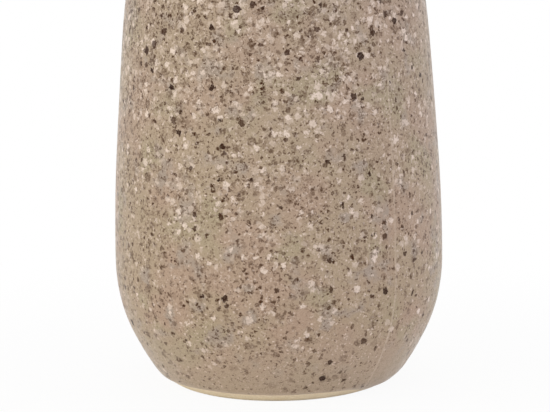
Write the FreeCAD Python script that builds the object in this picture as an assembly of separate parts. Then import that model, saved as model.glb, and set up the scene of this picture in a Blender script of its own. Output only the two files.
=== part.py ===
import FreeCAD, Part
import math
import os

# A slip-cast stoneware bottle vase: a hollow clay body, the speckled glaze coat on its outside
# and the thin glaze that lines its inside.
# Lengths are millimetres and angles are degrees. The origin is the centre of the foot, on the
# ground, and +Z runs up the axis. The two halves of the casting mould part in the XZ plane, so
# their seams run up the +X and the -X side.
# A lean is the angle of the outside against straight up, positive where it opens upwards.

# Overall sizes, measured over the glaze
vase_height = 300.0
belly_diameter = 140.0
neck_diameter = 37.0
lip_diameter = 45.0

# Thickness of the clay and of the two glazes
wall = 5.0
outer_coat = 0.4
liner_coat = 0.4

# Foot: a flat ring of bare clay round a shallow dish
foot_diameter = 88.4
foot_lean = 78.0
foot_ring_width = 5.0
dish_depth = 2.5
dish_slope_width = 12.0
bare_foot_height = 4.0

# Body: its stations lie at shares of the way from one named size to the next
belly_height = 53.5
slope_lean = 27.8
flank_lean = -4.6
shoulder_lean = -9.0
throat_lean = -57.0
slope_radius_share = 0.690      # from the foot's radius to the belly's
slope_height_share = 0.386      # from the ground to the belly
flank_radius_share = 0.927      # of the belly's radius
flank_height_share = 0.474      # from the belly to the neck's base
shoulder_radius_share = 0.862   # of the belly's radius
shoulder_height_share = 0.658   # from the belly to the neck's base
throat_radius_share = 0.239     # from the neck's radius to the belly's
throat_height_share = 0.890     # from the belly to the neck's base

# Neck and lip
neck_length = 34.0
lip_length = 12.0
lip_lean = 25.0

# Mould seam: a low ridge left on the casting, under the glaze
seam_width = 1.4
seam_height = 0.15
seam_start_height = 9.0

# Smallest difference of direction that counts as a bend
straight_limit = 1e-9


def between(low, high, share):
    return low + share * (high - low)


# The side of a line of travel that faces out of the clay: going up, it points away from the axis.
def outward(way):
    return FreeCAD.Vector(way.z, 0, -way.x)


def travel(side):
    return FreeCAD.Vector(-side.z, 0, side.x)


# A station is a point of the half section and the direction in which the outline passes it.
def station(radius, height, lean):
    turn = math.radians(lean)
    return FreeCAD.Vector(radius, 0, height), FreeCAD.Vector(math.sin(turn), 0, math.cos(turn))


def moved(place, away):
    point, way = place
    return point + outward(way) * away, way


# A stretch is one arc or line of an outline: its first, middle and last point, each with the side
# that faces out of the clay there. All three moved the same distance that way give the parallel
# stretch, so coats and walls are equally thick all along.
def stretch(start, way, end):
    chord = end - start
    along = FreeCAD.Vector(chord).normalize()
    side = outward(along)
    half_turn = math.atan2(way.dot(side), way.dot(along))
    middle = (start + end) / 2 + side * (chord.Length / 2 * math.tan(half_turn / 2))
    leaving = along * (2 * way.dot(along)) - way
    return [(start, outward(way)), (middle, side), (end, outward(leaving))]


# From one station to the next: a line where both point the same way along it, and otherwise two
# arcs that meet smoothly.
def join(first, second):
    (start, way), (end, onward) = first, second
    span = end - start
    if span.getAngle(way) < straight_limit and onward.getAngle(way) < straight_limit:
        return [stretch(start, way, end)]
    forward = span.dot(way + onward)
    bend = 1 - way.dot(onward)
    reach = span.dot(span) / (forward + math.sqrt(forward ** 2 + 2 * bend * span.dot(span)))
    middle = (start + end + (way - onward) * reach) / 2
    lower = stretch(start, way, middle)
    return [lower, stretch(middle, travel(lower[-1][1]), end)]


def outline(stations):
    return [part for pair in zip(stations, stations[1:]) for part in join(*pair)]


# The part of a rising outline above a height, which cuts one of its arcs.
def above(stretches, height):
    left = [one for one in stretches if one[-1][0].z > height]
    (start, first_side), _, (end, last_side) = left[0]
    turn = last_side - first_side
    radius = (end - start).dot(turn) / turn.dot(turn)
    centre = start - first_side * radius
    rise = (height - centre.z) / radius
    side = FreeCAD.Vector(math.sqrt(1 - rise ** 2), 0, rise)
    return [stretch(centre + side * radius, travel(side), end)] + left[1:]


# Both ends of an outline moved out of the clay by a distance, or into it where that is negative.
def start_of(stretches, away):
    point, side = stretches[0][0]
    return point + side * away


def end_of(stretches, away):
    point, side = stretches[-1][-1]
    return point + side * away


def line(start, end):
    return Part.LineSegment(start, end).toShape()


def arc(start, middle, end):
    return Part.Arc(start, middle, end).toShape()


def edges_of(stretches, away):
    edges = []
    for one in stretches:
        start, middle, end = [point + side * away for point, side in one]
        straight = one[0][1].getAngle(one[-1][1]) < straight_limit
        edges.append(line(start, end) if straight else arc(start, middle, end))
    return edges


def face_within(edges):
    return Part.Face(Part.Wire(Part.__sortEdges__(edges)))


def turned(edges):
    return face_within(edges).revolve(FreeCAD.Vector(0, 0, 0), FreeCAD.Vector(0, 0, 1), 360)


# A flat plate on the parting plane, as thick as given, on the +X and the -X side.
def on_both_seams(edges, thickness):
    across = FreeCAD.Vector(0, thickness, 0)
    plate = face_within(edges).extrude(across)
    plate.translate(across * -0.5)
    other = plate.copy()
    other.rotate(FreeCAD.Vector(0, 0, 0), FreeCAD.Vector(0, 0, 1), 180)
    return [plate, other]


# The band between two distances from an outline, closed at both ends.
def band(stretches, low, high):
    ends = [line(start_of(stretches, low), start_of(stretches, high)),
            line(end_of(stretches, low), end_of(stretches, high))]
    return edges_of(stretches, low) + edges_of(stretches, high) + ends


# Stations of the outside of the clay, from the edge of the foot ring to the lip
foot_radius = foot_diameter / 2
belly_radius = belly_diameter / 2 - outer_coat
neck_radius = neck_diameter / 2 - outer_coat
lip_turn = math.radians(lip_lean)
lip_radius = lip_diameter / 2 - outer_coat - wall / 2 * (1 - math.cos(lip_turn))
lip_height = vase_height - outer_coat - wall / 2 * (1 + math.sin(lip_turn))
neck_top_height = lip_height - lip_length
neck_base_height = neck_top_height - neck_length

foot_edge = station(foot_radius, 0, foot_lean)
slope = station(between(foot_radius, belly_radius, slope_radius_share),
                slope_height_share * belly_height, slope_lean)
belly = station(belly_radius, belly_height, 0)
flank = station(flank_radius_share * belly_radius,
                between(belly_height, neck_base_height, flank_height_share), flank_lean)
shoulder = station(shoulder_radius_share * belly_radius,
                   between(belly_height, neck_base_height, shoulder_height_share), shoulder_lean)
throat = station(between(neck_radius, belly_radius, throat_radius_share),
                 between(belly_height, neck_base_height, throat_height_share), throat_lean)
neck_base = station(neck_radius, neck_base_height, 0)
neck_top = station(neck_radius, neck_top_height, 0)
lip = station(lip_radius, lip_height, lip_lean)

# Stations of the underside, from the axis to the inner edge of the foot ring. The cast wall
# follows the mould, so the floor inside rises over the dish.
level_lean = 90.0
ring_inner_radius = foot_radius - foot_ring_width
dish_middle = station(0, dish_depth, level_lean)
dish_edge = station(ring_inner_radius - dish_slope_width, dish_depth, level_lean)
ring_edge = station(ring_inner_radius, 0, level_lean)

outside = outline([foot_edge, slope, belly, flank, shoulder, throat, neck_base, neck_top, lip])
upper_outside = outline([slope, belly, flank, shoulder, throat, neck_base, neck_top, lip])
underside = outline([dish_middle, dish_edge, ring_edge])
inner_corner = outline([moved(ring_edge, -wall), moved(slope, -wall)])
glazed_outside = above(outside, bare_foot_height)
seam_line = above(outline([foot_edge, slope, belly, flank, shoulder, throat, neck_base, neck_top]),
                  seam_start_height)


# Half a turn over the lip, from the outside to the inside, a distance out of the clay.
def rim_edge(away):
    point, side = outside[-1][-1]
    centre = point - side * (wall / 2)
    radius = wall / 2 + away
    return arc(centre + side * radius, centre + travel(side) * radius, centre - side * radius)


# The ridge of clay stands in the body's wall and rises out of it by the seam's height.
def clay_seams():
    return on_both_seams(band(seam_line, -wall / 2, seam_height), seam_width)


def make_clay_body():
    edges = edges_of(underside, 0)
    edges += [line(end_of(underside, 0), start_of(outside, 0))]
    edges += edges_of(outside, 0) + [rim_edge(0)]
    edges += edges_of(upper_outside, -wall) + edges_of(inner_corner, 0)
    edges += edges_of(underside, -wall)
    edges += [line(start_of(underside, 0), start_of(underside, -wall))]
    return turned(edges).fuse(clay_seams())


# The coat ends above the bare foot in a rounded edge, and inside the lip at the liner's edge.
def make_outer_glaze():
    point, side = glazed_outside[0][0]
    half = outer_coat / 2
    rounded = arc(point, point + side * half - travel(side) * half, point + side * outer_coat)
    edges = edges_of(glazed_outside, 0) + edges_of(glazed_outside, outer_coat)
    edges += [rounded, rim_edge(0), rim_edge(outer_coat)]
    edges += [line(end_of(glazed_outside, -wall), end_of(glazed_outside, -wall - outer_coat))]
    ridges = on_both_seams(band(seam_line, outer_coat / 2, outer_coat + seam_height),
                           seam_width + 2 * outer_coat)
    return turned(edges).fuse(ridges).cut(clay_seams())


def make_liner_glaze():
    edges = edges_of(underside, -wall) + edges_of(underside, -wall - liner_coat)
    edges += edges_of(inner_corner, 0) + edges_of(inner_corner, -liner_coat)
    edges += edges_of(upper_outside, -wall) + edges_of(upper_outside, -wall - liner_coat)
    edges += [line(start_of(underside, -wall), start_of(underside, -wall - liner_coat)),
              line(end_of(upper_outside, -wall), end_of(upper_outside, -wall - liner_coat))]
    return turned(edges)


pieces = {
    "clay_body": make_clay_body(),
    "outer_glaze": make_outer_glaze(),
    "liner_glaze": make_liner_glaze(),
}

os.makedirs("parts", exist_ok=True)
for name, shape in pieces.items():
    box = shape.optimalBoundingBox(False)
    print(name, "solids", len(shape.Solids), "valid", shape.isValid(), "volume", round(shape.Volume),
          "faces", len(shape.Faces), "top", round(box.ZMax, 3), "width", round(box.XLength, 3))
    shape.exportStep(os.path.join("parts", name + ".step"))
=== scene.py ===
import math
import bpy
import numpy as np
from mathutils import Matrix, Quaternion, Vector


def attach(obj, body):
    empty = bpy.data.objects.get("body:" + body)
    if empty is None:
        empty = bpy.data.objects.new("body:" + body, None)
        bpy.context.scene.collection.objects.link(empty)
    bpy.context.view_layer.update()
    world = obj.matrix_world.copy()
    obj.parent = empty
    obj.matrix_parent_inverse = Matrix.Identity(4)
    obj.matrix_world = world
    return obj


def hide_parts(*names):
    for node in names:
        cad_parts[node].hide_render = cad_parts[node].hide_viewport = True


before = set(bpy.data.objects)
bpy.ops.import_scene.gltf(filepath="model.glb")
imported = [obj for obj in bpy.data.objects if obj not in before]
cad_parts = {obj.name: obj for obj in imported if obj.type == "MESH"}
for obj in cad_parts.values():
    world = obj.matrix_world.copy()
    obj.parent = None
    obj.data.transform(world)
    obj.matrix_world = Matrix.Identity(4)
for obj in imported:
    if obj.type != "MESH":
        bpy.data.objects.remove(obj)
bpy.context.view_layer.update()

# A slip-cast stoneware bottle vase under a satin glaze full of dark, brown and cream specks.
# Measures of the vase are millimetres and degrees, and meshes are metres. The mould parts in the
# XZ plane, so its seams run up the +X and the -X side.
mm = 0.001
rng = np.random.default_rng(41)
arcStep = 0.25          # spacing of the points along an outline
straightTurn = 1e-9     # an arc that turns less than this is a line
axisRadius = 1e-6       # a ring smaller than this is a point on the axis


# A run is part of a section: its points, as radius and height, and the outward side at each.
# The arc leaves start in the direction way and ends at end. Half its turn is the angle from the
# chord to way, and the radius is half the chord over the sine of that. The outward side of each
# point is its direction turned a quarter to the right.
def arcRun(start, way, end):
    chord = end - start
    length = np.hypot(*chord)
    along = chord / length
    side = np.array([along[1], -along[0]])
    halfTurn = math.atan2(way @ side, way @ along)
    angle = (halfTurn * np.linspace(1, -1, max(2, int(length / arcStep))))[:, None]
    if abs(halfTurn) < straightTurn:
        points = start + chord * np.linspace(0, 1, len(angle))[:, None]
    else:
        radius = length / 2 / math.sin(halfTurn)
        points = start + radius * (along * (math.sin(halfTurn) - np.sin(angle))
                                   + side * (np.cos(angle) - math.cos(halfTurn)))
    return points, side * np.cos(angle) - along * np.sin(angle)


# A station is a point of an outline and the direction in which the outline passes it.
def stationAt(radius, height, lean):
    turn = math.radians(lean)
    return np.array([radius, height]), np.array([math.sin(turn), math.cos(turn)])


# Runs one after another.
def joined(runs):
    return np.concatenate([run[0] for run in runs]), np.concatenate([run[1] for run in runs])


# Two arcs that meet smoothly run from each station to the next. They meet midway between both
# ends, moved by the difference of the two directions times the reach of each tangent.
def outlineThrough(places):
    runs = []
    for (start, way), (end, onward) in zip(places, places[1:]):
        span = end - start
        forward, bend = span @ (way + onward), 1 - way @ onward
        reach = span @ span / (forward + math.sqrt(forward ** 2 + 2 * bend * (span @ span)))
        middle = (start + end + (way - onward) * reach) / 2
        first = arcRun(start, way, middle)
        lastSide = first[1][-1]
        runs += [first, arcRun(middle, np.array([-lastSide[1], lastSide[0]]), end)]
    return joined(runs)


# Each point moved along its outward side by a distance.
def pushed(run, distance):
    return run[0] + run[1] * distance, run[1]


# The same run walked the other way, with its outward sides turned round.
def backwards(run):
    return run[0][::-1], -run[1][::-1]


# Distance of each point of a run from its start, along the run.
def travelled(run):
    steps = np.hypot(*np.diff(run[0], axis=0).T)
    return np.concatenate([[0], np.cumsum(steps)])


def lengthOf(run):
    return travelled(run)[-1]


# Rows of a section at given distances along it: radius, height and the two parts of the side.
def atLengths(run, lengths):
    along = travelled(run)
    return [np.interp(lengths, along, values) for values in (*run[0].T, *run[1].T)]


# A whole turn in equal steps, from +X towards +Y.
def evenAngles(count):
    return np.arange(count) * 2 * math.pi / count


# Rises from 0 at low to 1 at high as three squares less two cubes of the share of the way.
def smooth(low, high, value):
    share = np.clip((value - low) / (high - low), 0, 1)
    return share * share * (3 - 2 * share)


# Slow random swell over angle and height, between -1 and 1: the mean of cosines of whole turns
# round the vase with random phases, each turning by up to drift radians a millimetre of height.
def swell(angle, height, turns, drift):
    total = 0
    for count in turns:
        phase, lead = rng.uniform(0, 2 * math.pi), rng.uniform(-drift, drift)
        total = total + np.cos(count * angle + phase + height * lead)
    return total / len(turns)


# A closed skin from a grid of radius and height over rows and columns. Rows run along the section
# and columns round the axis. A first or last row on the axis becomes one point with a fan of
# triangles, and otherwise the last row is joined to the first. The map goes round in u, and
# acrossMap gives its v for each row.
def skin(name, radius, height, angles, acrossMap):
    rows, columns = radius.shape
    points = np.stack([radius * np.cos(angles), radius * np.sin(angles), height], -1) * mm
    number = np.arange(rows * columns).reshape(rows, columns)
    hasPoles = radius[0].max() < axisRadius
    if hasPoles:
        number[0], number[-1] = number[0, 0], number[-1, 0]
    nextRow = number[1:] if hasPoles else np.roll(number, -1, 0)
    rowCount = len(nextRow)
    here = number[:rowCount]
    quads = np.stack([here, np.roll(here, -1, 1), np.roll(nextRow, -1, 1), nextRow], -1)
    turn = np.append(angles, angles[0] + 2 * math.pi) / (2 * math.pi)
    u = np.broadcast_to(np.stack([turn[:-1], turn[1:], turn[1:], turn[:-1]], -1), quads.shape)
    v = np.stack([acrossMap[:-1], acrossMap[:-1], acrossMap[1:], acrossMap[1:]], -1)[:rowCount]
    maps = np.stack([u, np.broadcast_to(v[:, None], quads.shape)], -1)
    corners, uvs = [quads.reshape(-1, 4)], [maps.reshape(-1, 4, 2)]
    if hasPoles:
        first, last = [0, 2, 3], [0, 1, 2]      # corners of the triangles at either pole
        corners = [quads[0][:, first], quads[1:-1].reshape(-1, 4), quads[-1][:, last]]
        uvs = [maps[0][:, first], maps[1:-1].reshape(-1, 4, 2), maps[-1][:, last]]
    return meshFrom(name, points.reshape(-1, 3), corners, uvs)


# The faces come in blocks of equal corner counts. Points that no face uses are left out.
def meshFrom(name, points, corners, uvs):
    flat = np.concatenate([block.ravel() for block in corners])
    used, flat = np.unique(flat, return_inverse=True)
    sizes = np.concatenate([np.full(len(block), block.shape[1]) for block in corners])
    starts = np.concatenate([[0], np.cumsum(sizes)[:-1]])
    mesh = bpy.data.meshes.new(name)
    mesh.vertices.add(len(used))
    mesh.vertices.foreach_set("co", points[used].ravel())
    mesh.loops.add(len(flat))
    mesh.loops.foreach_set("vertex_index", flat.ravel())
    mesh.polygons.add(len(sizes))
    mesh.polygons.foreach_set("loop_start", starts)
    mesh.polygons.foreach_set("loop_total", sizes)
    mesh.polygons.foreach_set("use_smooth", np.ones(len(sizes), bool))
    layer = mesh.uv_layers.new(name="OFBake")
    layer.data.foreach_set("uv", np.concatenate([block.reshape(-1) for block in uvs]))
    mesh.update()
    mesh.validate()
    piece = bpy.data.objects.new(name, mesh)
    bpy.context.collection.objects.link(piece)
    return piece


# Each piece rides on the only body and stands in for one node of the CAD model.
def finishPiece(piece, material, node):
    piece.data.materials.append(material)
    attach(piece, "root")
    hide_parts(node)
    print(piece.name, "faces", len(piece.data.polygons))


# The linear light of an sRGB hex colour. Each part over 255 is divided by 12.92 where it is small,
# and otherwise has 0.055 added, is divided by 1.055 and is raised to the power 2.4.
def linear(colour):
    parts = np.array([int(colour[at:at + 2], 16) for at in (1, 3, 5)]) / 255
    parts = np.where(parts <= 0.04045, parts / 12.92, ((parts + 0.055) / 1.055) ** 2.4)
    return (*parts, 1.0)


# Adds one node. Settings are its own properties. Its inputs are numbers, colours, outputs of
# other nodes, or other nodes, of which the output in use is linked. A Map Range takes its value
# as 0, what it is mapped from as 1 and 2 and what it is mapped to as 3 and 4, which are 0 and 1
# if not given. A Mix takes its share as 0 and its two colours as 6 and 7.
def addNode(tree, kind, inputs=None, **settings):
    node = tree.nodes.new("ShaderNode" + kind)
    for name, value in settings.items():
        setattr(node, name, value)
    for key, value in (inputs or {}).items():
        if isinstance(value, bpy.types.Node):
            value = next(output for output in value.outputs if output.enabled)
        if isinstance(value, bpy.types.NodeSocket):
            tree.links.new(value, node.inputs[key])
        else:
            node.inputs[key].default_value = value
    return node


def newMaterial(name):
    material = bpy.data.materials.new(name)
    material.use_nodes = True
    material.node_tree.nodes.clear()
    return material, material.node_tree


# Soft patches of a size in millimetres: where their noise is low they are 0, and from high on
# they are share.
def patches(tree, place, size, low, high, share=1.0):
    noise = addNode(tree, "TexNoise", {"Vector": place, "Scale": 1 / (size * mm), "Detail": 2.0})
    return addNode(tree, "MapRange", {0: noise, 1: low, 2: high, 4: share},
                   interpolation_type="SMOOTHSTEP")


# The clay body was cast in slip: a shell of even wall on a foot ring, with a shallow dish inside
# the ring. After firing, what the glaze leaves bare is dry, matte and cream, with sandy grains and
# a few tiny iron specks. Real sand in such clay is 0.1 to 0.4 mm and is drawn coarser, to show.
clay = {
    # The outline: each station is radius, height and lean against straight up
    "stations": [(44.2, 0.0, 78.0), (61.73, 20.65, 27.8), (69.6, 53.5, 0.0), (64.52, 146.66, -4.6),
                 (60.0, 182.83, -9.0), (30.41, 228.42, -57.0), (18.1, 250.04, 0.0),
                 (18.1, 284.04, 0.0), (21.87, 296.04, 25.0)],
    "slopeStation": 1,              # from here up, the inside runs parallel to the outside
    "wall": 5.0,
    "ringWidth": 5.0,
    "dishDepth": 2.5,
    "dishSlope": 12.0,
    "wipeDepth": 0.75,              # how far the sponge took down the corner above the ring
    "wipeMiddle": 7.5,              # where it went deepest, along the section from the ring
    "wipeReach": 24.0,
    "handDepth": 0.05,              # deepest unevenness of hand finishing
    "handTurns": (5, 9, 14, 23),
    "handDrift": 0.05,
    "handRadius": 20.0,             # inside this radius it fades out
    "columns": 240,
    "rowStep": 2.2,
    "rimPoints": 48,
    # The finish. Patches are a size, the noise where they start and where they are full, and how
    # strong they are.
    "colour": "#FFF0D5",
    "sand": "#F6E2C2",
    "iron": "#9A7450",
    "sandPatches": (0.6, 0.45, 0.7),
    "cloudPatches": (9.0, 0.5, 0.8, 0.5),
    "ironPatches": (1.1, 0.7, 0.76, 0.6),
    "roughness": (0.78, 0.95),
    "grainStrength": 0.5,
    "grainDepth": 0.05,
}


# The sponge rounded the corner above the foot ring: the outline sinks by a hump of its distance
# from the ring, a sine squared whose peak a power draws to the middle of the wipe.
def wiped(run):
    along = np.clip(travelled(run) / clay["wipeReach"], 0, 1)
    bias = math.log(0.5) / math.log(clay["wipeMiddle"] / clay["wipeReach"])
    depth = clay["wipeDepth"] * np.sin(math.pi * along ** bias) ** 2
    return run[0] - run[1] * depth[:, None], run[1]


# Half a circle over the lip, from its outside to its inside, with half the wall as its radius.
def rimOver(outside):
    point, side = outside[0][-1], outside[1][-1]
    rise = np.array([-side[1], side[0]])
    turn = np.linspace(0, math.pi, clay["rimPoints"])[:, None]
    out = side * np.cos(turn) + rise * np.sin(turn)
    return point + (out - side) * clay["wall"] / 2, out


stations = [stationAt(*place) for place in clay["stations"]]
outside = wiped(outlineThrough(stations))
rim = rimOver(outside)
upperOutside = outlineThrough(stations[clay["slopeStation"]:])
ringInner = clay["stations"][0][0] - clay["ringWidth"]
level = 90
ringEdge, ringWay = stationAt(ringInner, 0, level)
underside = outlineThrough([stationAt(0, clay["dishDepth"], level),
                            stationAt(ringInner - clay["dishSlope"], clay["dishDepth"], level),
                            (ringEdge, ringWay)])
slopePoint, slopeWay = stations[clay["slopeStation"]]
slopeSide = np.array([slopeWay[1], -slopeWay[0]])
innerCorner = outlineThrough([(np.array([ringInner, clay["wall"]]), ringWay),
                              (slopePoint - slopeSide * clay["wall"], slopeWay)])
ringSpan = outside[0][0] - underside[0][-1]
ring = arcRun(underside[0][-1], ringSpan / np.hypot(*ringSpan), outside[0][0])
print("outline done,", round(lengthOf(outside)), "mm from the foot to the lip")


# The clay body is its whole section turned about the axis. Each point is pushed in along its side
# by handDepth times half of one plus a slow swell, which fades out inside handRadius.
def makeClayBody():
    section = joined([underside, ring, outside, rim, backwards(pushed(upperOutside, -clay["wall"])),
                      backwards(innerCorner), backwards(pushed(underside, -clay["wall"]))])
    total = lengthOf(section)
    lengths = np.linspace(0, total, int(total / clay["rowStep"]))
    radius, height, sideR, sideZ = [part[:, None] for part in atLengths(section, lengths)]
    angles = evenAngles(clay["columns"])
    uneven = (1 + swell(angles, height, clay["handTurns"], clay["handDrift"])) / 2
    push = -clay["handDepth"] * uneven * np.clip(radius / clay["handRadius"], 0, 1)
    rows = radius + sideR * push
    heights = np.maximum(height + sideZ * push, 0)
    rows[[0, -1]] = 0
    heights[[0, -1]] = heights[[0, -1]].mean(axis=1, keepdims=True)
    return skin("clay_casting", rows, heights, angles, lengths / total)


def makeBareClay():
    material, tree = newMaterial("bare_fired_stoneware")
    place = addNode(tree, "TexCoord").outputs["Object"]
    grains = patches(tree, place, *clay["sandPatches"])
    colour = linear(clay["colour"])
    for share, tone in ((grains, clay["sand"]),
                        (patches(tree, place, *clay["cloudPatches"]), clay["sand"]),
                        (patches(tree, place, *clay["ironPatches"]), clay["iron"])):
        colour = addNode(tree, "Mix", {0: share, 6: colour, 7: linear(tone)}, data_type="RGBA")
    smoothest, roughest = clay["roughness"]
    dry = addNode(tree, "MapRange", {0: grains, 3: smoothest, 4: roughest})
    bump = addNode(tree, "Bump", {"Height": grains, "Strength": clay["grainStrength"],
                                  "Distance": clay["grainDepth"] * mm})
    shader = addNode(tree, "BsdfPrincipled",
                     {"Base Color": colour, "Roughness": dry, "Normal": bump})
    addNode(tree, "OutputMaterial", {0: shader})
    return material


finishPiece(makeClayBody(), makeBareClay(), "clay_body")


# The outer coat is a satin taupe stoneware glaze. It was sprayed over grains of iron and of white
# frit, which melted into it: the iron leaves near-black to brown specks and soft stains, the frit
# leaves cream grains, and between them the taupe drifts to pink, olive and grey.
glaze = {
    # The coat and its lower edge, which wanders about bareHeight above the ground and runs down
    # to runHeight beside the +X seam: runStart and runEnd are the angles, from that seam, over
    # which the run sets in and ends
    "thickness": 0.345,
    "swell": 0.015,
    "swellTurns": (3, 4, 7, 11),
    "swellDrift": 0.06,
    "bareHeight": 4.6,
    "bareWave": 0.35,
    "bareTurns": (2, 3, 5, 8, 13),
    "runHeight": 2.6,
    "runStart": (-12.0, 4.0),
    "runEnd": (55.0, 95.0),
    "edgeRound": 0.5,
    "bead": 0.1,
    "beadLength": 2.4,
    # The ridge over each mould seam, and the waves that it was scraped down in
    "seamHeight": 0.15,
    "seamWidth": 2.2,
    "seamStart": 9.0,
    "seamEnd": 284.0,
    "seamFade": 8.0,
    "scrapeShare": 0.25,
    "scrapeWaves": (11.0, 4.7),
    # Columns round the vase, which gather at the seams, and rows along the section, where the
    # back is the side that lies on the clay
    "columns": 360,
    "gather": 0.42,
    "edgeRows": [0, 0.05, 0.12, 0.2, 0.3, 0.45, 0.7, 1.0, 1.4, 1.9, 2.5, 3.3, 4.4],
    "bodyRows": (6.0, 3.0, 2.0),        # first from the edge, last from the lip, step
    "lastBodyRow": 1.5,
    "rimRows": 19,
    "backRows": (3.0, 6.0, 1.2),        # last from the edge, step, one more near the edge
    "backMap": 0.05,                    # share of the map for the back
    "backGap": 0.1,
    # Colours of the glaze, and the patches in which it drifts: size, the noise where they start
    # and where they are full, and for the grain also the strength and the colour
    "base": "#B6A188",
    "pink": "#B89E89",
    "olive": "#B2A286",
    "grey": "#AE9E90",
    "pale": "#D0BCA8",
    # foot is painted light, not the glaze's own colour: a lighter tone near the ground that stands
    # in for light thrown up by the white floor
    "foot": "#BDA993",
    "pinkPatches": (30.0, 0.42, 0.6),
    "olivePatches": (24.0, 0.5, 0.66),
    "oliveShift": (310.0, 170.0, 50.0),
    "greyPatches": (9.0, 0.53, 0.72),
    "greyRise": (25.0, 165.0, 0.27),    # heights where it greys from and to, and how far
    "floorLightTurn": (35.0, 7.0),            # heights where the painted floor light starts and is full: the glaze is drawn lighter towards the ground
    "grain": ((1.3, 0.45, 0.75, 0.1, "#8E7867"), (0.5, 0.56, 0.68, 0.4, "#DCC8B5"),
              (0.55, 0.56, 0.68, 0.4, "#5E4533")),
    # Noises that move the specks' places, tear their outlines and mottle them
    "rag": 3.0,
    "ragSize": 1.9,
    "fraySize": 0.9,
    "mottlePatches": (0.8, 0.35, 0.6),
    # Where specks are fewer: towards the foot, and on the side away from flickAzimuth, where
    # fewer grains were flicked on. Heights are from the ground, and the flick's from the axis.
    "fullHeight": 165.0,
    "plainHeight": 26.0,
    "plainShare": 0.7,
    "flickAzimuth": 27.0,
    "flickFrom": 15.0,
    "flickTo": 64.0,
    "flickShare": 1.12,
    "clumpRange": (0.32, 0.68),
    # A calm patch beside the +X seam: an egg with a centre and a reach each way, cut off by the
    # seam, within which only calmShare of the specks' strength is left
    "calmCentre": (60.0, 10.0, 10.0),
    "calmReach": (60.0, 12.5, 15.0),
    "calmCut": (-0.5, 1.5, 1.2),
    "calmFade": (0.7, 1.1),
    "calmShare": 0.2,
    # Where the glaze is thin and shows the clay: on the seams, the lip and the lower edge
    "seamLine": (0.75, 0.25),           # half widths where the line starts and is full
    "seamLow": (160.0, 30.0),           # heights where it is faintest and strongest
    "seamShare": (0.28, 0.6),
    "seamPatches": (4.5, 0.35, 0.6),
    "seamWorn": (0.65, 1.15),
    "lipThin": (298.2, 299.8, 0.5),     # heights where it starts and is full, and its strength
    "edgeThin": (0.2, 2.6, 0.75),       # distances from the edge, and the strength there
    "thinPatches": (6.0, 0.3, 0.65),
    "thinShare": (0.5, 1.3),
    # Gloss: satin, with the faint orange peel of a sprayed glaze
    "roughness": (0.28, 0.42),
    "satinPatches": (3.5, 0.35, 0.65),
    "ior": 1.45,
    "specular": 0.14,
    "peelSize": 2.6,
    "peelStrength": 0.35,
    "peelDepth": 0.06,
    # Layers of specks, the lowest first. Each is cells of random points, and a speck is the part
    # of a cell near its point. cell is their spacing, radii the smallest and the largest, edge how
    # soft they are, fray how far they are torn, and shift moves the layer's cells.
    # share is how many cells have a speck at full height, low the part of it at the ground, away
    # the part of it on the side that the flick missed, and clump and gather are the size and
    # the strength of its clumps.
    # cover and faint are how solid the most and the least solid ones are, mottle how uneven.
    "layers": {
        "creamFine": dict(cell=1.0, share=0.48, radii=(0.18, 0.5), edge=0.25, shift=17,
                          tones=("#E6D3C4", "#D3BEAD"), cover=0.95, faint=0.35, mottle=0.2,
                          low=0.48, clump=9, gather=0.75, fray=0.5, away=1.08),
        "stain": dict(cell=4.2, share=0.45, radii=(0.8, 2.2), edge=0.9, shift=3,
                      tones=("#5E4533", "#826B59"), cover=0.85, faint=0.4, mottle=0.75,
                      low=0.6, clump=18, gather=0.6, fray=2.0, away=0.75),
        "brownFine": dict(cell=0.95, share=0.54, radii=(0.18, 0.52), edge=0.22, shift=23,
                          tones=("#50331A", "#715A47"), cover=1.0, faint=0.45, mottle=0.2,
                          low=0.38, clump=11, gather=0.6, fray=0.5, away=0.85),
        "brown": dict(cell=1.85, share=0.73, radii=(0.34, 1.1), edge=0.32, shift=31,
                      tones=("#401E00", "#6C533E"), cover=1.0, faint=0.45, mottle=0.4,
                      low=0.28, clump=14, gather=0.6, fray=1.1, away=0.7),
        "cream": dict(cell=2.9, share=0.69, radii=(0.5, 1.6), edge=0.8, shift=11,
                      tones=("#F0DDCF", "#DDC9B8"), cover=1.0, faint=0.4, mottle=0.35,
                      low=0.0, clump=12, gather=0.95, fray=3.0, away=0.6),
        "black": dict(cell=6.0, share=0.55, radii=(0.5, 1.7), edge=0.35, shift=43,
                      tones=("#2C0F00", "#401D00"), cover=1.0, faint=0.85, mottle=0.15,
                      low=0.35, clump=30, gather=0.5, fray=1.2, away=0.6),
    },
}

# The coat's section, from the foot to the inner edge of the lip
front = joined([outside, rim])
frontLength = lengthOf(front)


# Height of the glaze's lower edge round the vase: level with slow waves, and low over the run.
def glazeEdge(angles):
    degrees = np.degrees((angles + math.pi) % (2 * math.pi) - math.pi)
    run = smooth(*glaze["runStart"], degrees) * (1 - smooth(*glaze["runEnd"], degrees))
    edge = glaze["bareHeight"] + glaze["bareWave"] * swell(angles, 0, glaze["bareTurns"], 0)
    return edge + (glaze["runHeight"] - edge) * run


# The ridge over each mould seam: the square of one less the square of the share of the way from
# the parting plane. It fades out at both ends, and two sines up the seam scrape it down unevenly.
def seamRidge(radius, height, angles):
    across = np.abs(radius * np.sin(angles)) / (glaze["seamWidth"] / 2)
    hump = np.clip(1 - across ** 2, 0, 1) ** 2
    start, end, fade = glaze["seamStart"], glaze["seamEnd"], glaze["seamFade"]
    ends = smooth(start, start + fade, height) * (1 - smooth(end - fade, end, height))
    slow, quick = glaze["scrapeWaves"]
    waves = np.sin(height / slow) * np.sin(height / quick + angles)
    scraped = 1 - glaze["scrapeShare"] * (1 - waves)
    return glaze["seamHeight"] * hump * ends * scraped


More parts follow.
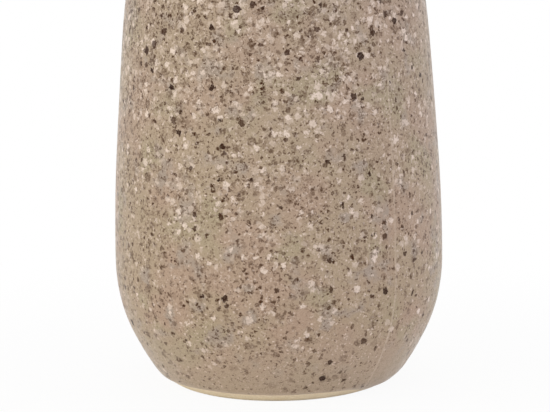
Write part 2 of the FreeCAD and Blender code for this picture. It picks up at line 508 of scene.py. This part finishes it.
# The coat stands on the clay by its thickness, which starts at nothing on the lower edge, rounds
# off there as a quarter circle, swells to a bead and varies slowly above. Rows keep their share of
# the way from the edge to the lip, wherever the edge runs. The back lies on the clay.
def makeOuterGlaze():
    even = evenAngles(glaze["columns"])
    angles = even - glaze["gather"] * np.sin(2 * even)
    outsideTop = lengthOf(outside)
    edgeLength = np.interp(glazeEdge(angles), outside[0][:, 1],
                           np.linspace(0, outsideTop, len(outside[0])))
    bodyFrom, bodyTo, bodyStep = glaze["bodyRows"]
    marks = np.concatenate([glaze["edgeRows"], np.arange(bodyFrom, outsideTop - bodyTo, bodyStep),
                            [outsideTop - glaze["lastBodyRow"]],
                            np.linspace(outsideTop, frontLength, glaze["rimRows"])])
    squeeze = (frontLength - edgeLength) / frontLength
    fromEdge = marks[:, None] * squeeze
    radius, height, sideR, sideZ = atLengths(front, edgeLength + fromEdge)
    rounding = np.sqrt(1 - (1 - np.clip(fromEdge / glaze["edgeRound"], 0, 1)) ** 2)
    bead = glaze["bead"] * np.exp(-(fromEdge / glaze["beadLength"]) ** 2)
    uneven = glaze["swell"] * swell(angles, height, glaze["swellTurns"], glaze["swellDrift"])
    thick = (glaze["thickness"] + uneven + bead) * rounding + seamRidge(radius, height, angles)
    backTo, backStep, backLast = glaze["backRows"]
    backMarks = np.append(np.arange(frontLength, backTo, -backStep), [backLast])
    back = atLengths(front, edgeLength + backMarks[:, None] * squeeze)
    rows = np.concatenate([radius + sideR * thick, back[0]])
    heights = np.concatenate([height + sideZ * thick, back[1]])
    frontMap = marks / frontLength * (1 - glaze["backMap"])
    backMap = np.linspace(1 - glaze["backMap"] * (1 - glaze["backGap"]), 1, len(backMarks) + 1)
    return skin("speckled_glaze_coat", rows, heights, angles, np.append(frontMap, backMap))


# One layer of specks: a mask from 0 to 1 and the colour of each speck. A speck's size, its tone,
# how solid it is and whether it is there come from its cell's random colour. A slow noise at the
# cell's own point gathers the specks in clumps, the point's height thins them towards the foot,
# and how far it lies towards the flick's azimuth makes them more or fewer. A fine noise, fray,
# tears their outlines.
def specks(tree, place, fray, layer):
    cell, shift = layer["cell"], (layer["shift"] * mm,) * 3
    moved = addNode(tree, "VectorMath", {0: place, 1: shift}, operation="ADD")
    cells = addNode(tree, "TexVoronoi", {"Vector": moved, "Scale": 1 / (cell * mm)})
    chance = addNode(tree, "SeparateColor", {0: cells.outputs["Color"]})
    point = addNode(tree, "VectorMath", {0: cells.outputs["Position"], 1: shift},
                    operation="SUBTRACT")
    height = addNode(tree, "SeparateXYZ", {0: point}).outputs["Z"]
    clumps = addNode(tree, "TexNoise", {"Vector": cells.outputs["Position"],
                                        "Scale": 1 / (layer["clump"] * mm), "Detail": 1.0})
    thinnest, thickest = glaze["clumpRange"]
    share = addNode(tree, "MapRange", {0: clumps, 1: thinnest, 2: thickest,
                                       3: 1 - layer["gather"], 4: 1 + layer["gather"]})
    thinned = addNode(tree, "MapRange", {0: height, 2: glaze["fullHeight"] * mm,
                                         3: layer["share"] * layer["low"], 4: layer["share"]})
    plain = addNode(tree, "MapRange", {0: height, 2: glaze["plainHeight"] * mm,
                                       3: glaze["plainShare"]})
    turn = math.radians(glaze["flickAzimuth"])
    facing = addNode(tree, "VectorMath", {0: point, 1: (math.sin(turn), -math.cos(turn), 0.0)},
                     operation="DOT_PRODUCT")
    flicked = addNode(tree, "MapRange", {0: facing, 1: glaze["flickFrom"] * mm,
                                         2: glaze["flickTo"] * mm, 3: layer["away"],
                                         4: glaze["flickShare"]})
    for factor in (thinned, plain, flicked):
        share = addNode(tree, "Math", {0: share, 1: factor}, operation="MULTIPLY")
    there = addNode(tree, "Math", {0: chance.outputs["Green"], 1: share}, operation="LESS_THAN")
    smallest, largest = [radius / cell for radius in layer["radii"]]
    size = addNode(tree, "MapRange", {0: chance.outputs["Red"], 3: smallest, 4: largest})
    torn = addNode(tree, "Math", {0: fray, 1: layer["fray"] / cell, 2: cells.outputs["Distance"]},
                   operation="MULTIPLY_ADD")
    inside = addNode(tree, "Math", {0: size, 1: torn}, operation="SUBTRACT")
    half = layer["edge"] / cell / 2
    mask = addNode(tree, "MapRange", {0: inside, 1: -half, 2: half},
                   interpolation_type="SMOOTHSTEP")
    solid = addNode(tree, "MapRange", {0: chance.outputs["Blue"], 3: layer["cover"],
                                       4: layer["cover"] * layer["faint"]})
    for factor in (there, solid):
        mask = addNode(tree, "Math", {0: mask, 1: factor}, operation="MULTIPLY")
    darker, lighter = [linear(tone) for tone in layer["tones"]]
    return mask, addNode(tree, "Mix", {0: chance.outputs["Blue"], 6: darker, 7: lighter},
                         data_type="RGBA")


# How much of the specks is left round the calm patch: the distance from its centre in reaches,
# made longer beyond the seam, and turned to a share.
def calmPatch(tree, place, across):
    centre, reach = [tuple(value * mm for value in glaze[name])
                     for name in ("calmCentre", "calmReach")]
    away = addNode(tree, "VectorMath", {0: place, 1: centre}, operation="SUBTRACT")
    away = addNode(tree, "VectorMath", {0: away, 1: reach}, operation="DIVIDE")
    away = addNode(tree, "VectorMath", {0: away}, operation="LENGTH")
    cutFrom, cutTo, cutMost = glaze["calmCut"]
    beyond = addNode(tree, "MapRange", {0: across, 1: cutFrom * mm, 2: cutTo * mm,
                                        3: cutMost, 4: 0.0})
    away = addNode(tree, "Math", {0: away, 1: beyond}, operation="ADD")
    fadeFrom, fadeTo = glaze["calmFade"]
    return addNode(tree, "MapRange", {0: away, 1: fadeFrom, 2: fadeTo, 3: glaze["calmShare"]},
                   interpolation_type="SMOOTHSTEP")


# Where the glaze is thin and lets the pale clay through: a broken line on each seam, stronger low
# down, and an uneven stretch on the lip and on the lower edge.
def thinPlaces(tree, place, across, height):
    off = addNode(tree, "Math", {0: across}, operation="ABSOLUTE")
    lineFrom, lineTo = [value * mm for value in glaze["seamLine"]]
    line = addNode(tree, "MapRange", {0: off, 1: lineFrom, 2: lineTo},
                   interpolation_type="SMOOTHSTEP")
    lowFrom, lowTo = [value * mm for value in glaze["seamLow"]]
    faintest, strongest = glaze["seamShare"]
    low = addNode(tree, "MapRange", {0: height, 1: lowFrom, 2: lowTo, 3: faintest, 4: strongest})
    leastWorn, mostWorn = glaze["seamWorn"]
    worn = addNode(tree, "MapRange", {0: patches(tree, place, *glaze["seamPatches"]),
                                      3: leastWorn, 4: mostWorn})
    lipFrom, lipTo, lipShare = glaze["lipThin"]
    onLip = addNode(tree, "MapRange", {0: height, 1: lipFrom * mm, 2: lipTo * mm, 4: lipShare})
    edgeMap = addNode(tree, "SeparateXYZ", {0: addNode(tree, "UVMap", uv_map="OFBake")})
    edgeFrom, edgeTo, edgeShare = glaze["edgeThin"]
    onEdge = addNode(tree, "MapRange", {0: edgeMap.outputs["Y"], 1: edgeFrom / frontLength,
                                        2: edgeTo / frontLength, 3: edgeShare, 4: 0.0},
                     interpolation_type="SMOOTHSTEP")
    leastThin, mostThin = glaze["thinShare"]
    uneven = addNode(tree, "MapRange", {0: patches(tree, place, *glaze["thinPatches"]),
                                        3: leastThin, 4: mostThin})
    places = []
    for share, *factors in ((line, low, worn), (onLip, uneven), (onEdge, uneven)):
        for factor in factors:
            share = addNode(tree, "Math", {0: share, 1: factor}, operation="MULTIPLY")
        places.append(share)
    return places


# Washes are the colours that lie over the base, the lowest first, each with its share. The one that
# rises towards the ground is painted light, a lighter tone standing in for light from the white
# floor.
def makeSpeckledGlaze():
    material, tree = newMaterial("speckled_satin_glaze")
    place = addNode(tree, "TexCoord").outputs["Object"]
    parts = addNode(tree, "SeparateXYZ", {0: place})
    across, height = parts.outputs["Y"], parts.outputs["Z"]
    ragged = addNode(tree, "TexNoise", {"Vector": place, "Scale": 1 / (glaze["ragSize"] * mm),
                                        "Detail": 4.0, "Roughness": 0.6})
    centred = addNode(tree, "VectorMath", {0: ragged.outputs["Color"], 1: (0.5, 0.5, 0.5)},
                      operation="SUBTRACT")
    torn = addNode(tree, "VectorMath", {0: centred, 1: (glaze["rag"] * mm,) * 3, 2: place},
                   operation="MULTIPLY_ADD")
    elsewhere = addNode(tree, "VectorMath",
                        {0: place, 1: tuple(value * mm for value in glaze["oliveShift"])},
                        operation="ADD")
    riseFrom, riseTo, riseShare = glaze["greyRise"]
    floorLightFrom, floorLightTo = [value * mm for value in glaze["floorLightTurn"]]
    washes = [(patches(tree, place, *glaze["pinkPatches"]), linear(glaze["pink"])),
              (patches(tree, elsewhere, *glaze["olivePatches"]), linear(glaze["olive"])),
              (patches(tree, torn, *glaze["greyPatches"]), linear(glaze["grey"])),
              (addNode(tree, "MapRange", {0: height, 1: riseFrom * mm, 2: riseTo * mm,
                                          4: riseShare}), linear(glaze["grey"])),
              # Painted floor light: the glaze turns lighter towards the ground, standing in for
              # light bounced up from the white floor onto the lower body
              (addNode(tree, "MapRange", {0: height, 1: floorLightFrom, 2: floorLightTo}),
               linear(glaze["foot"]))]
    washes += [(patches(tree, torn, *values), linear(tone)) for *values, tone in glaze["grain"]]
    fray = addNode(tree, "TexNoise", {"Vector": place, "Scale": 1 / (glaze["fraySize"] * mm),
                                      "Detail": 2.0})
    fray = addNode(tree, "Math", {0: fray, 1: 0.5}, operation="SUBTRACT")
    mottle = patches(tree, place, *glaze["mottlePatches"])
    calm = calmPatch(tree, place, across)
    for layer in glaze["layers"].values():
        mask, tone = specks(tree, torn, fray, layer)
        mottled = addNode(tree, "MapRange", {0: mottle, 3: 1 - layer["mottle"]})
        for factor in (mottled, calm):
            mask = addNode(tree, "Math", {0: mask, 1: factor}, operation="MULTIPLY")
        washes.append((mask, tone))
    washes += [(share, linear(glaze["pale"]))
               for share in thinPlaces(tree, place, across, height)]
    colour = linear(glaze["base"])
    for share, tone in washes:
        colour = addNode(tree, "Mix", {0: share, 6: colour, 7: tone}, data_type="RGBA")
    peel = addNode(tree, "TexNoise", {"Vector": place, "Scale": 1 / (glaze["peelSize"] * mm),
                                      "Detail": 3.0})
    bump = addNode(tree, "Bump", {"Height": peel, "Strength": glaze["peelStrength"],
                                  "Distance": glaze["peelDepth"] * mm})
    smoothest, roughest = glaze["roughness"]
    satin = addNode(tree, "MapRange", {0: patches(tree, torn, *glaze["satinPatches"]),
                                       3: smoothest, 4: roughest})
    shader = addNode(tree, "BsdfPrincipled",
                     {"Base Color": colour, "Roughness": satin, "IOR": glaze["ior"],
                      "Specular IOR Level": glaze["specular"], "Normal": bump})
    addNode(tree, "OutputMaterial", {0: shader})
    return material


finishPiece(makeOuterGlaze(), makeSpeckledGlaze(), "outer_glaze")


# The liner is a clear glossy glaze, poured in and out again, so it lies thin over the cream clay
# with slow sags: milky where it is thick, with soft clouds, a gentle orange peel and a few
# pinholes. Patches are as in the clay body's values.
liner = {
    "thickness": 0.38,
    "sag": 0.05,
    "sagTurns": (2, 3, 5),
    "sagDrift": 0.03,
    "columns": 160,
    "rowStep": 3.0,
    "hiddenMap": 0.1,               # share of the map for the side that lies on the clay
    "colour": "#CFC2AE",
    "deep": "#BFB098",
    "pinhole": "#8F7D66",
    "cloudPatches": (12.0, 0.4, 0.7),
    "pinholePatches": (2.2, 0.72, 0.76, 0.7),
    "peelPatches": (5.0, 0.2, 0.8),
    "peelStrength": 0.4,
    "peelDepth": 0.08,
    "roughness": (0.14, 0.26),
    "ior": 1.5,
}


# The coat follows the inside of the clay, and its free side stands off it by the thickness, less
# the sag times half of one plus a slow swell.
def makeLinerGlaze():
    inside = joined([pushed(underside, -clay["wall"]), innerCorner,
                     pushed(upperOutside, -clay["wall"])])
    total = lengthOf(inside)
    lengths = np.linspace(0, total, int(total / liner["rowStep"]))
    radius, height, sideR, sideZ = [part[:, None] for part in atLengths(inside, lengths)]
    angles = evenAngles(liner["columns"])
    sagged = (1 + swell(angles, height, liner["sagTurns"], liner["sagDrift"])) / 2
    thick = liner["thickness"] - liner["sag"] * sagged
    rows = np.concatenate([radius + 0 * thick, (radius - sideR * thick)[::-1]])
    heights = np.concatenate([height + 0 * thick, (height - sideZ * thick)[::-1]])
    rows[[0, -1]] = 0
    heights[[0, -1]] = heights[[0, -1]].mean(axis=1, keepdims=True)
    share, hidden = lengths / total, liner["hiddenMap"]
    return skin("liner_glaze_coat", rows, heights, angles,
                np.concatenate([hidden * share, 1 - (1 - hidden) * share[::-1]]))


def makeLinerFinish():
    material, tree = newMaterial("thin_clear_liner_glaze")
    place = addNode(tree, "TexCoord").outputs["Object"]
    colour = linear(liner["colour"])
    for share, tone in ((patches(tree, place, *liner["cloudPatches"]), liner["deep"]),
                        (patches(tree, place, *liner["pinholePatches"]), liner["pinhole"])):
        colour = addNode(tree, "Mix", {0: share, 6: colour, 7: linear(tone)}, data_type="RGBA")
    peel = patches(tree, place, *liner["peelPatches"])
    smoothest, roughest = liner["roughness"]
    gloss = addNode(tree, "MapRange", {0: peel, 3: smoothest, 4: roughest})
    bump = addNode(tree, "Bump", {"Height": peel, "Strength": liner["peelStrength"],
                                  "Distance": liner["peelDepth"] * mm})
    shader = addNode(tree, "BsdfPrincipled", {"Base Color": colour, "Roughness": gloss,
                                              "IOR": liner["ior"], "Normal": bump})
    addNode(tree, "OutputMaterial", {0: shader})
    return material


finishPiece(makeLinerGlaze(), makeLinerFinish(), "liner_glaze")


# Studio: a white floor disc, an even white surround and one large soft lamp on the camera's left.
# Its lengths are metres.
studio = {
    "white": "#FFFFFF",
    "surroundColour": "#FAFAFF",
    "surround": 0.892,
    "floorColour": "#FAF9F8",
    "floorRadius": 6.0,
    "floorSides": 96,
    "floorGlow": 0.93,              # how much of the surround's white the floor has by the vase
    "fadeFrom": 0.12,
    "fadeTo": 0.32,
    "lampColour": "#FFF9BF",
    "lampAzimuth": -8.0,
    "lampElevation": 17.0,
    "lampDistance": 1.6,
    "lampAimHeight": 0.12,
    "lampSize": 1.2,
    "lampPower": 3.7,
    "cameraAzimuth": 47.5,
    "cameraDistance": 0.9,
    "cameraHeight": 0.2127,
    "aimHeight": 0.07477,
    "aimLeft": 0.00139,
    "roll": -0.83,
    "lens": 139.2,                  # millimetres, as is the film's width
    "filmWidth": 36.0,
}


# The direction with an azimuth from the front, which is -Y, and an elevation.
def towards(azimuth, elevation):
    turn, lift = math.radians(azimuth), math.radians(elevation)
    return Vector((math.sin(turn) * math.cos(lift), -math.cos(turn) * math.cos(lift),
                   math.sin(lift)))


# One for rays from the camera, reflections and rays through glass, which see plain white, and
# nothing for the rays that light the vase.
def seenDirectly(tree):
    rays = addNode(tree, "LightPath")
    seen = addNode(tree, "Math", {0: rays.outputs["Is Camera Ray"],
                                  1: rays.outputs["Is Glossy Ray"]}, operation="ADD")
    return addNode(tree, "Math", {0: seen, 1: rays.outputs["Is Transmission Ray"]},
                   operation="ADD", use_clamp=True)


# An even white all round, whose light is a little lower and cooler than what is seen of it.
def makeSurround():
    world = bpy.data.worlds.new("white_surround")
    world.use_nodes = True
    tree = world.node_tree
    tree.nodes.clear()
    light = addNode(tree, "Background", {0: linear(studio["surroundColour"]),
                                         1: studio["surround"]})
    seen = addNode(tree, "Background", {0: linear(studio["white"]), 1: 1.0})
    mixed = addNode(tree, "MixShader", {0: seenDirectly(tree), 1: light, 2: seen})
    addNode(tree, "OutputWorld", {0: mixed})
    bpy.context.scene.world = world


# The floor is a disc. Close to the vase it shows its own pale colour and the shadow, and further
# out it turns to the plain white of the surround.
def makeFloor():
    angles = evenAngles(studio["floorSides"])
    edge = np.stack([np.cos(angles), np.sin(angles), 0 * angles], -1) * studio["floorRadius"]
    mesh = bpy.data.meshes.new("floor")
    mesh.from_pydata(edge.tolist(), [], [list(range(len(angles)))])
    floor = bpy.data.objects.new("floor", mesh)
    bpy.context.collection.objects.link(floor)
    material, tree = newMaterial("pale_paper_floor")
    place = addNode(tree, "TexCoord").outputs["Object"]
    away = addNode(tree, "VectorMath", {0: place}, operation="LENGTH")
    fade = addNode(tree, "MapRange", {0: away, 1: studio["fadeFrom"], 2: studio["fadeTo"],
                                      3: studio["floorGlow"]}, interpolation_type="SMOOTHSTEP")
    glow = addNode(tree, "Math", {0: fade, 1: seenDirectly(tree)}, operation="MULTIPLY")
    paper = addNode(tree, "BsdfDiffuse", {0: linear(studio["floorColour"])})
    white = addNode(tree, "Emission", {0: linear(studio["white"]), 1: 1.0})
    mixed = addNode(tree, "MixShader", {0: glow, 1: paper, 2: white})
    addNode(tree, "OutputMaterial", {0: mixed})
    mesh.materials.append(material)


# A warm round soft box that faces a point on the vase's axis from an azimuth and an elevation.
def makeLamp():
    data = bpy.data.lights.new("soft_box", "AREA")
    data.shape = "DISK"
    data.size = studio["lampSize"]
    data.energy = studio["lampPower"]
    data.color = linear(studio["lampColour"])[:3]
    lamp = bpy.data.objects.new("soft_box", data)
    out = towards(studio["lampAzimuth"], studio["lampElevation"])
    lamp.location = out * studio["lampDistance"] + Vector((0, 0, studio["lampAimHeight"]))
    lamp.rotation_euler = out.to_track_quat("Z", "Y").to_euler()
    bpy.context.collection.objects.link(lamp)


# The camera stands level with cameraHeight and looks at a point a little left of the axis, turned
# about its line of sight by the roll.
def makeCamera():
    data = bpy.data.cameras.new("camera")
    data.lens = studio["lens"]
    data.sensor_width = studio["filmWidth"]
    camera = bpy.data.objects.new("camera", data)
    out = towards(studio["cameraAzimuth"], 0)
    place = out * studio["cameraDistance"] + Vector((0, 0, studio["cameraHeight"]))
    left = out.cross(Vector((0, 0, 1)))
    aim = left * studio["aimLeft"] + Vector((0, 0, studio["aimHeight"]))
    camera.location = place
    camera.rotation_mode = "QUATERNION"
    upright = (aim - place).to_track_quat("-Z", "Y")
    camera.rotation_quaternion = upright @ Quaternion((0, 0, 1), math.radians(studio["roll"]))
    bpy.context.collection.objects.link(camera)
    bpy.context.scene.camera = camera


makeSurround()
makeFloor()
makeLamp()
makeCamera()
bpy.context.scene.view_settings.view_transform = "Standard"
print("studio done")
